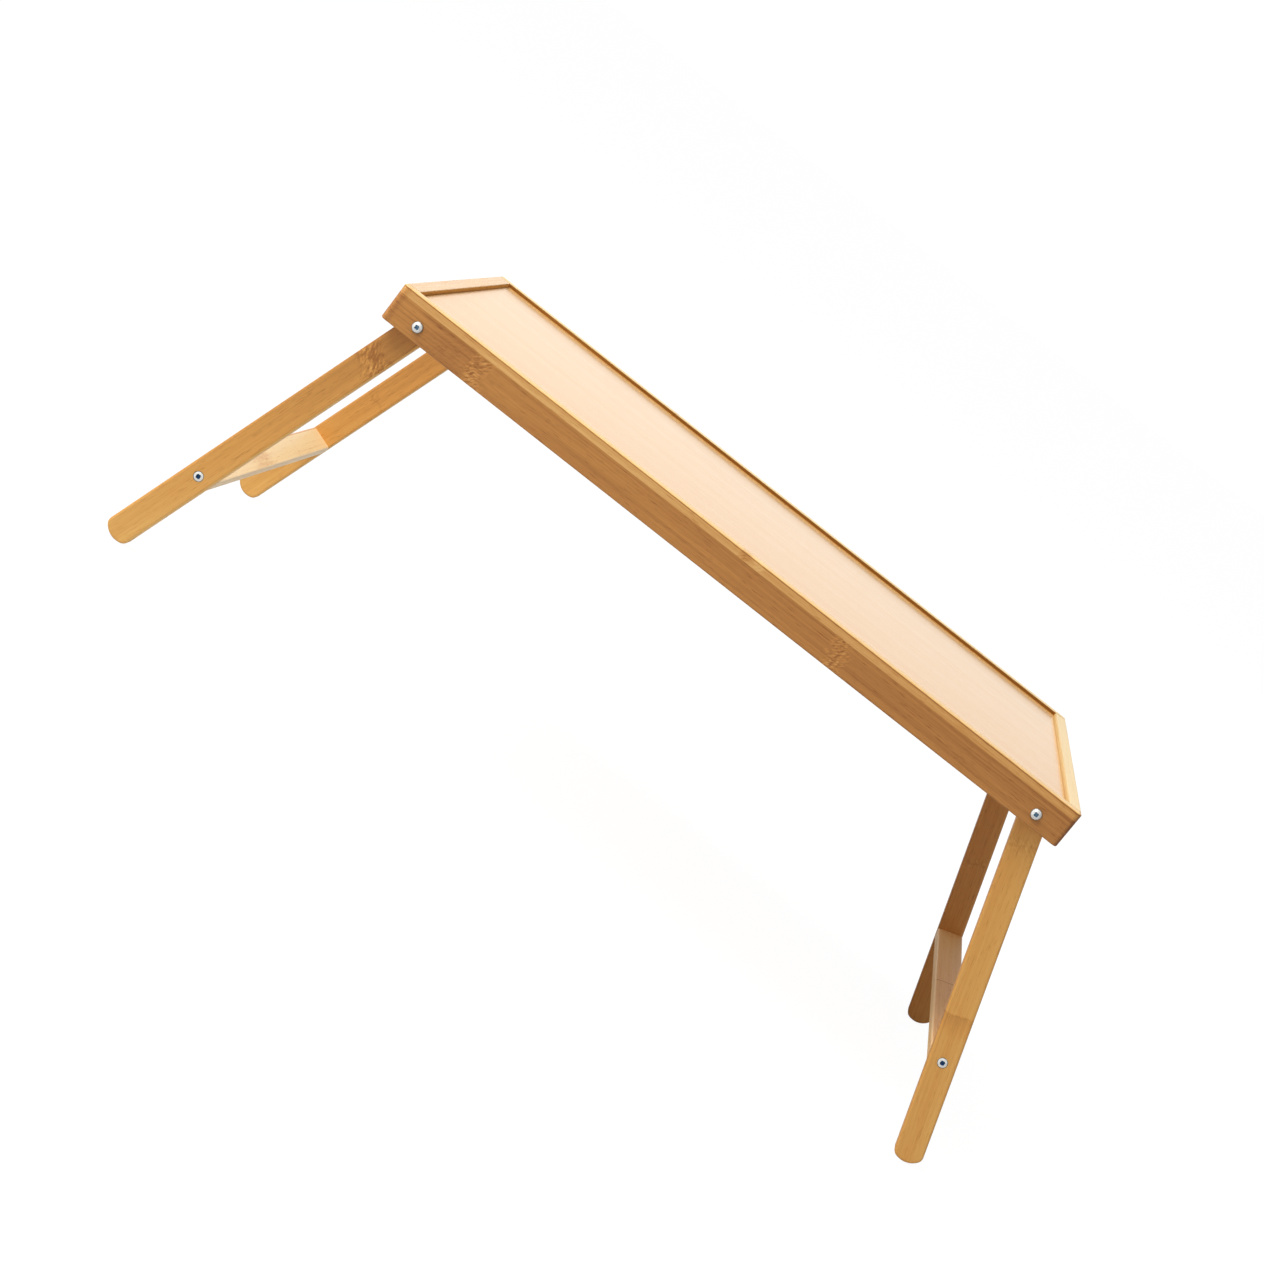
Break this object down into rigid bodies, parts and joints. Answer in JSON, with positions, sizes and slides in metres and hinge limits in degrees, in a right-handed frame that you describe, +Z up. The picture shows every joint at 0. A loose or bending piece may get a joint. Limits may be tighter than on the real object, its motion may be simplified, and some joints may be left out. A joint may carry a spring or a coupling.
{
  "type": "folding laptop table",
  "caption": "Folding bamboo laptop table: a shallow rimmed tray on splayed leg frames that pivot on bolts, rest against the end rails and fold flat under it.",
  "frame": {"origin": "on the floor, below the middle of the tray, with the leg frames splayed open on their stops", "axes": "+X along the tray to the right, -Y towards the user at the front rail, +Z up"},
  "size_m": [0.6194, 0.3546, 0.232],
  "materials": {
    "bamboo_rail": "satin lacquer",
    "bamboo_panel": "satin lacquer",
    "bamboo_leg": "satin lacquer",
    "bamboo_stretcher": "satin lacquer",
    "dowel_wood": "bare, fluted stock",
    "zinc_steel": "bright zinc plate"
  },
  "bodies": {
    "tray": {"front_rail": "bamboo_rail", "back_rail": "bamboo_rail", "left_end_rail": "bamboo_rail", "right_end_rail": "bamboo_rail", "top_panel": "bamboo_panel", "corner_dowels": "dowel_wood", "left_front_pivot_bolt": "zinc_steel", "left_front_pivot_washer": "zinc_steel", "left_front_nut_washer": "zinc_steel", "left_front_pivot_nut": "zinc_steel", "left_back_pivot_bolt": "zinc_steel", "left_back_pivot_washer": "zinc_steel", "left_back_nut_washer": "zinc_steel", "left_back_pivot_nut": "zinc_steel", "right_front_pivot_bolt": "zinc_steel", "right_front_pivot_washer": "zinc_steel", "right_front_nut_washer": "zinc_steel", "right_front_pivot_nut": "zinc_steel", "right_back_pivot_bolt": "zinc_steel", "right_back_pivot_washer": "zinc_steel", "right_back_nut_washer": "zinc_steel", "right_back_pivot_nut": "zinc_steel"},
    "left_leg_frame": {"left_front_leg": "bamboo_leg", "left_back_leg": "bamboo_leg", "left_stretcher": "bamboo_stretcher", "left_front_stretcher_screw": "zinc_steel", "left_back_stretcher_screw": "zinc_steel"},
    "right_leg_frame": {"right_front_leg": "bamboo_leg", "right_back_leg": "bamboo_leg", "right_stretcher": "bamboo_stretcher", "right_front_stretcher_screw": "zinc_steel", "right_back_stretcher_screw": "zinc_steel"}
  },
  "joints": [
    {"name": "left_leg_fold", "type": "hinge", "parent": "tray", "child": "left_leg_frame", "pos_m": [-0.22874, 0, 0.21623], "axis": [0, -1, 0], "range_deg": [0, 109]},
    {"name": "right_leg_fold", "type": "hinge", "parent": "tray", "child": "right_leg_frame", "pos_m": [0.22874, 0, 0.21623], "axis": [0, 1, 0], "range_deg": [0, 109]}
  ]
}
